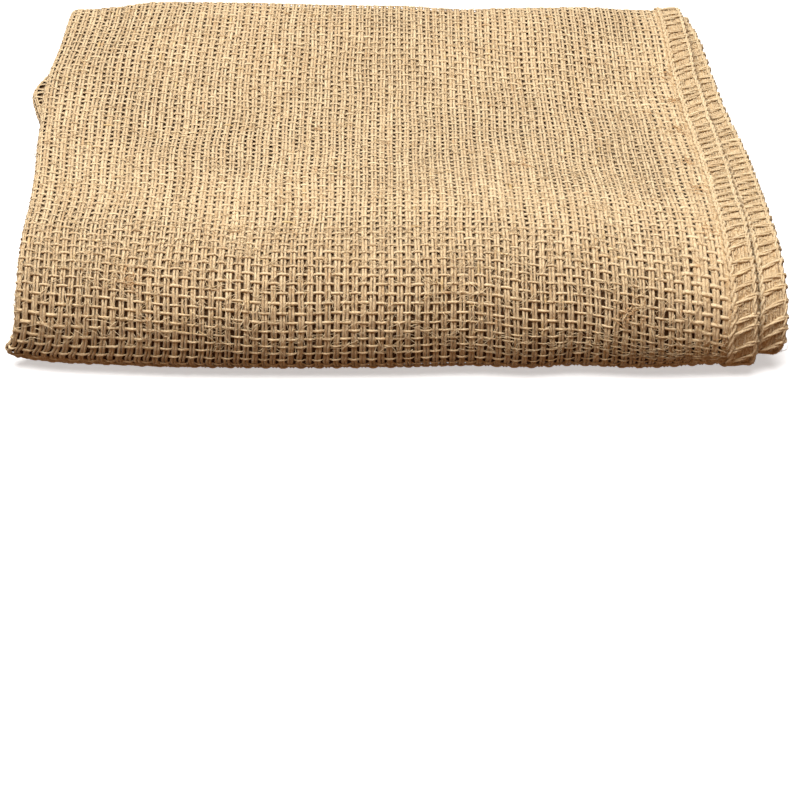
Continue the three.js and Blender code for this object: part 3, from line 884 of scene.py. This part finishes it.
def yarn_finish(name, strength, roughness):
    """Jute fibre: fine streaks along each yarn, uneven in tone, with orange and yellow slubs."""
    nodes = Nodes(name)
    fibre = nodes.attribute("fibre")
    tint = nodes.add("SeparateColor", {"Color": nodes.attribute("tint", "Color")}).outputs
    place = nodes.add("TexCoord").outputs["Object"]
    streaks = nodes.noise(fibre, 1.7, 4.0, 0.7)
    fluff = nodes.noise(place, 1500.0, 2.0, 0.6)
    patches = nodes.noise(fibre, 0.45)
    light = tint["Red"]
    for pattern, share in ((streaks, 1.5), (fluff, 1.5), (patches, 0.4)):
        light = nodes.plus(light, nodes.times(nodes.minus(pattern, 0.5), share))
    light = nodes.between(light, 0.0, 1.0)
    colour = nodes.blend(light, dye("dark"), dye("light"))
    colour = nodes.blend(tint["Green"], colour, dye("orange"))
    colour = nodes.blend(tint["Blue"], colour, dye("yellow"))
    rough = nodes.times(nodes.between(streaks, -0.6, 1.6), 0.2)
    relief = nodes.plus(nodes.noise(fibre, 2.3, 2.0, 0.6), fluff)
    return nodes.finish(
        Base_Color=colour,
        Roughness=nodes.plus(rough, roughness),
        Normal=nodes.bump(relief, strength, 0.0005),
        Specular_IOR_Level=0.25,
        Sheen_Weight=0.12,
        Sheen_Roughness=0.5,
    )


def wall_finish(name):
    """The walls: doubled warps and single wefts in relief, with painted shade in the gaps of the weave
    and on the wall where yarns lie over it.
    """
    nodes = Nodes(name)
    cloth = nodes.attribute("cloth")
    place = nodes.add("TexCoord").outputs["Object"]
    parts = nodes.add("SeparateXYZ", {"Vector": cloth}).outputs
    u = nodes.times(parts["X"], 2 * math.pi / PAIR)
    v = nodes.times(parts["Y"], 2 * math.pi / PICK)
    warps = nodes.between(nodes.sum("COSINE", u), -0.55, 0.05)
    wefts = nodes.between(nodes.sum("COSINE", v), 0.1, 0.75)
    over = nodes.times(*(nodes.sum("COSINE", nodes.times(way, 0.5)) for way in (u, v)))
    strands = nodes.times(nodes.sum("ABSOLUTE", nodes.sum("SINE", u)), 0.25)
    warp_height = nodes.plus(strands, nodes.minus(0.5, nodes.times(over, 0.25)))
    weft_height = nodes.plus(0.55, nodes.times(over, 0.35))
    grain = nodes.noise(place, 1100.0, 3.0, 0.65)
    tone = nodes.plus(grain, nodes.times(nodes.noise(cloth, 0.35, 3.0, 0.6), 0.5))
    height = nodes.sum("MAXIMUM", nodes.times(warps, warp_height), nodes.times(wefts, weft_height))
    # painted shade: the low parts of the weave relief are coloured darker
    tone = nodes.between(nodes.plus(nodes.times(height, 0.45), tone), 0.45, 1.45)
    bare = nodes.blend(tone, dye("dark"), dye("light"))
    # painted shade: the dark seen between the yarns, made uneven by the grain
    deep = nodes.blend(grain, dye("painted_hole_shade", 0.6), dye("painted_hole_shade", 1.5))
    # painted shade: the gaps between the yarns of the weave take the dark shade colour
    painted_shade_in_gaps = nodes.times(nodes.minus(1.0, nodes.sum("MAXIMUM", warps, wefts)), 0.85)
    bare = nodes.blend(painted_shade_in_gaps, bare, deep)
    relief = nodes.plus(height, nodes.times(grain, 0.4))
    return nodes.finish(
        # painted shade wherever yarns lie over the wall
        Base_Color=nodes.blend(nodes.attribute("under_yarns", "Fac"), bare, deep),
        Roughness=0.95,
        Normal=nodes.bump(relief, 0.9, 0.0007),
        Specular_IOR_Level=0.15,
    )


# ---- what a user would change


class JuteSackColours(bpy.types.PropertyGroup):
    def tone(name, description, default):
        return bpy.props.FloatVectorProperty(
            name=name, description=description, default=default, subtype="COLOR", size=3, min=0, max=1
        )

    light: tone("Light fibre", "Colour of the lightest jute fibre", (0.82, 0.655, 0.41))
    dark: tone("Dark fibre", "Colour of the darkest jute fibre", (0.44, 0.28, 0.13))
    # painted shade: the colour of the dark seen through the gaps between the yarns
    painted_hole_shade: tone("Holes", "Colour of the cloth deep between the yarns", (0.075, 0.036, 0.014))
    orange: tone("Orange slubs", "Colour of the tinted slubs", (0.54, 0.30, 0.12))
    yellow: tone("Yellow slubs", "Colour of the yellow slubs", (0.68, 0.46, 0.17))


class JuteSackSizes(bpy.types.PropertyGroup):
    fibres: bpy.props.IntProperty(
        name="Loose fibres", description="Loose fibres over the cloth", default=3800, min=0, max=5000
    )


class JuteSackStage(bpy.types.PropertyGroup):
    def power(name, description, default):
        return bpy.props.FloatProperty(name=name, description=description, default=default, unit="POWER")

    key: power("Key light", "Power of the soft light above", 48.5)
    fill: power("Fill light", "Power of the low strip light in front", 2.3)
    back: power("Back light", "Power of the low strip light behind", 3.4)
    surround: bpy.props.FloatProperty(
        name="Surround", description="Strength of the even light all round", default=0.10, min=0
    )


# ---- pieces

made = {}


def pick_range(from_at, to_at, share=0.5):
    """The first and the last weft between two places on the way of the cloth."""
    column = upper_lay.at[:, int(share * upper_lay.columns)]
    return tuple(int(round(np.interp(a, column, upper_lay.lengths) / PICK)) for a in (from_at, to_at))


class JUTESACK_OT_cloth(bpy.types.Operator):
    """Folds the doubled cloth"""

    bl_idname = "jute_sack.cloth"
    bl_label = "Fold the cloth"

    def execute(self, context):
        made["walls"] = cloth_sheet(wall_finish("jute_wall"))
        return {"FINISHED"}


class JUTESACK_OT_yarns(bpy.types.Operator):
    """Weaves the yarns of the outer wall"""

    bl_idname = "jute_sack.yarns"
    bl_label = "Weave the yarns"

    def execute(self, context):
        finish = yarn_finish("jute_yarn", 0.7, 0.72)
        low, high = pick_range(0.98, 5.01)
        start, end = pick_range(0.01, 7.99, 0.0)
        crest = (low + high) // 2
        made["yarns"] = [
            warp_yarns("warps_left", (3, 42), (low, high), finish),
            warp_yarns("warps_right", (43, PAIRS - 1), (low, high), finish, seed=61),
            weft_yarns("wefts_front", (-2.5, PAIRS - 0.5), (low, crest), finish),
            weft_yarns("wefts_rear", (-2.5, PAIRS - 0.5), (crest + 1, high), finish),
            warp_yarns("warps_at_fold", (-1, 2), (start, end), finish, seed=81),
            weft_yarns("wefts_at_fold_below", (-2.5, 2.5), (start, low - 1), finish, seed=91),
            weft_yarns("wefts_at_fold_inside", (-2.5, 2.5), (high + 1, end), finish, seed=101),
        ]
        return {"FINISHED"}


class JUTESACK_OT_seams(bpy.types.Operator):
    """Overlocks both side seams"""

    bl_idname = "jute_sack.seams"
    bl_label = "Sew the side seams"

    def execute(self, context):
        finish = yarn_finish("jute_twine", 0.8, 0.7)
        made["seams"] = {
            seam: [
                seam_cover(seam, finish, seed + 20),
                sewn_strands(seam, finish, seed + 25),
                stitches(seam, finish, seed),
                chain_ridges(seam, finish, seed + 7),
            ]
            for seam, seed in (("inboard", 301), ("outboard", 351))
        }
        return {"FINISHED"}


class JUTESACK_OT_fibres(bpy.types.Operator):
    """Adds the loose fibres"""

    bl_idname = "jute_sack.fibres"
    bl_label = "Add loose fibres"

    def execute(self, context):
        finish = yarn_finish("jute_fibre", 0.2, 0.6)
        rng = seeded(401)
        count = context.scene.jute_sack_sizes.fibres
        across = rng.uniform(2, WIDTH - 12, count)
        on_roll = rng.uniform(size=count) < ON_THE_ROLL
        along = np.where(on_roll, rng.uniform(-58, 0, count), rng.uniform(-5, 195, count))
        starts = fibre_starts(across, along, 0.5, ramp(0.96, 1.0, rng.uniform(size=count)))
        slubs, strays = clusters(SLUBS, 0.55, 1.0, 431), clusters(STRAYS, 0.6, 0.0, 441)
        made["fibres"] = [
            hairs("loose_fibres", starts, on_weave, finish, 402, (2.0, 8.0), (0.15, 1.2)),
            hairs("slubs", slubs, on_weave, finish, 432, (1.2, 4.0), (0.1, 0.5), 0.17),
            hairs("stray_fibres", strays, on_weave, finish, 442, (6.0, 12.0), (0.3, 1.2), 0.13),
        ]
        for seam, seed in (("inboard", 411), ("outboard", 421)):
            rng = seeded(seed)
            along = rng.uniform(-62, 200, SEAM_FIBRES)
            inwards = rng.uniform(0, 12.5, SEAM_FIBRES)
            starts = fibre_starts(inwards, along, 1.45, ramp(0.95, 1.0, rng.uniform(size=SEAM_FIBRES)))
            place = functools.partial(on_seam, seam)
            sizes = {"length": (1.2, 4.0), "lift": (0.1, 0.5), "slot": "seam_twine"}
            made["seams"][seam].append(hairs(f"{seam}_fibres", starts, place, finish, seed + 1, **sizes))
        return {"FINISHED"}


# The floor, in metres: how far it is flat, the radius of its bend and the height of its rim.
FLOOR_FLAT, FLOOR_BEND, FLOOR_RIM = 2.0, 0.8, 1.45
BEND_STEPS, FLOOR_SIDES = 10, 64
# Width and height of each light, its colour, its place and what it is aimed at.
LIGHTS = {
    "key": (1.3, 1.3, (1, 1, 1), (-0.2, -0.06, 1.5), (0, 0.02, 0)),
    "fill": (1.6, 0.26, (1.0, 0.46, 0.20), (0, -1.3, 0.15), (0, -0.12, 0)),
    "back": (1.6, 0.26, (1.0, 0.70, 0.46), (0, 1.3, 0.17), (0, 0.12, 0)),
}
SURROUND_COLOUR = (1.0, 0.56, 0.30, 1)
LENS, SENSOR_WIDTH = 87.965, 36.0
CAMERA_PLACE, CAMERA_TILT = (0.007148, -0.732598, 0.467219), 51.965


def floor_dish():
    """A round pale floor that bends up into a low wall all round."""
    bends = [math.pi / 2 * k / BEND_STEPS for k in range(BEND_STEPS + 1)]
    turned = lambda b: (FLOOR_FLAT + FLOOR_BEND * math.sin(b), FLOOR_BEND - FLOOR_BEND * math.cos(b))
    profile = [(0.0, 0.0), *map(turned, bends), (FLOOR_FLAT + FLOOR_BEND, FLOOR_RIM)]
    bm = bmesh.new()
    line = [bm.verts.new((x, 0, z)) for x, z in profile]
    edges = [bm.edges.new(pair) for pair in zip(line, line[1:])]
    turn = {"cent": (0, 0, 0), "axis": (0, 0, 1), "dvec": (0, 0, 0), "angle": 2 * math.pi}
    bmesh.ops.spin(bm, geom=line + edges, steps=FLOOR_SIDES, use_merge=True, **turn)
    bmesh.ops.remove_doubles(bm, verts=bm.verts[:], dist=0.0001)
    bmesh.ops.recalc_face_normals(bm, faces=bm.faces[:])
    bmesh.ops.reverse_faces(bm, faces=[f for f in bm.faces if f.normal.z < 0])
    mesh = new_mesh("floor", bm)
    mesh.polygons.foreach_set("use_smooth", np.ones(len(mesh.polygons), bool))
    finish = {"Base_Color": (0.8, 0.8, 0.8, 1), "Roughness": 0.9}
    finish.update(Emission_Color=(1, 1, 1, 1), Emission_Strength=0.5)
    mesh.materials.append(Nodes("pale_floor").finish(**finish))
    return mesh


class JUTESACK_OT_stage(bpy.types.Operator):
    """Adds the floor, the lights and the camera"""

    bl_idname = "jute_sack.stage"
    bl_label = "Set the stage"

    def execute(self, context):
        scene, settings = context.scene, context.scene.jute_sack_stage
        floor = new_object("floor", floor_dish())
        floor.visible_diffuse = False
        for name, (width, height, colour, place, target) in LIGHTS.items():
            lamp = bpy.data.lights.new(name, "AREA")
            lamp.shape = "RECTANGLE"
            lamp.energy, lamp.size, lamp.size_y = getattr(settings, name), width, height
            lamp.color = colour
            light = new_object(name, lamp)
            light.location = place
            aim = Vector(target) - Vector(place)
            light.rotation_euler = aim.to_track_quat("-Z", "Y").to_euler()
        scene.world = bpy.data.worlds.new("surround")
        scene.world.use_nodes = True
        background = scene.world.node_tree.nodes["Background"].inputs
        background["Strength"].default_value = settings.surround
        background["Color"].default_value = SURROUND_COLOUR
        scene.view_settings.view_transform = "Standard"
        lens = bpy.data.cameras.new("camera")
        lens.lens, lens.sensor_width = LENS, SENSOR_WIDTH
        scene.camera = new_object("camera", lens)
        scene.camera.location = CAMERA_PLACE
        scene.camera.rotation_euler = (math.radians(CAMERA_TILT), 0, 0)
        return {"FINISHED"}


class JUTESACK_PT_panel(bpy.types.Panel):
    bl_label = "Jute sack"
    bl_idname = "JUTESACK_PT_panel"
    bl_space_type = "VIEW_3D"
    bl_region_type = "UI"
    bl_category = "Jute sack"

    def draw(self, context):
        for group in (getattr(context.scene, name) for name in GROUPS):
            for name in group.bl_rna.properties.keys():
                if name not in ("rna_type", "name"):
                    self.layout.prop(group, name)
        for operator in OPERATORS:
            self.layout.operator(operator.bl_idname)


GROUPS = {
    "jute_sack_colours": JuteSackColours,
    "jute_sack_sizes": JuteSackSizes,
    "jute_sack_stage": JuteSackStage,
}
OPERATORS = (
    JUTESACK_OT_cloth, JUTESACK_OT_yarns, JUTESACK_OT_seams, JUTESACK_OT_fibres, JUTESACK_OT_stage,
)
CLASSES = (*GROUPS.values(), *OPERATORS, JUTESACK_PT_panel)


def register():
    for kind in CLASSES:
        bpy.utils.register_class(kind)
    for name, kind in GROUPS.items():
        setattr(bpy.types.Scene, name, bpy.props.PointerProperty(type=kind))


def unregister():
    for name in GROUPS:
        delattr(bpy.types.Scene, name)
    for kind in reversed(CLASSES):
        bpy.utils.unregister_class(kind)


def main():
    register()
    bpy.ops.jute_sack.stage()
    bpy.ops.jute_sack.cloth()
    bpy.ops.jute_sack.yarns()
    bpy.ops.jute_sack.seams()
    bpy.ops.jute_sack.fibres()
    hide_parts("sack_cloth")
    for piece in made["yarns"] + made["fibres"]:
        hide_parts("sack_cloth")
    for seam, pieces in made["seams"].items():
        for piece in pieces:
            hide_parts(f"side_seam_{seam}")


if __name__ == "__main__":
    main()
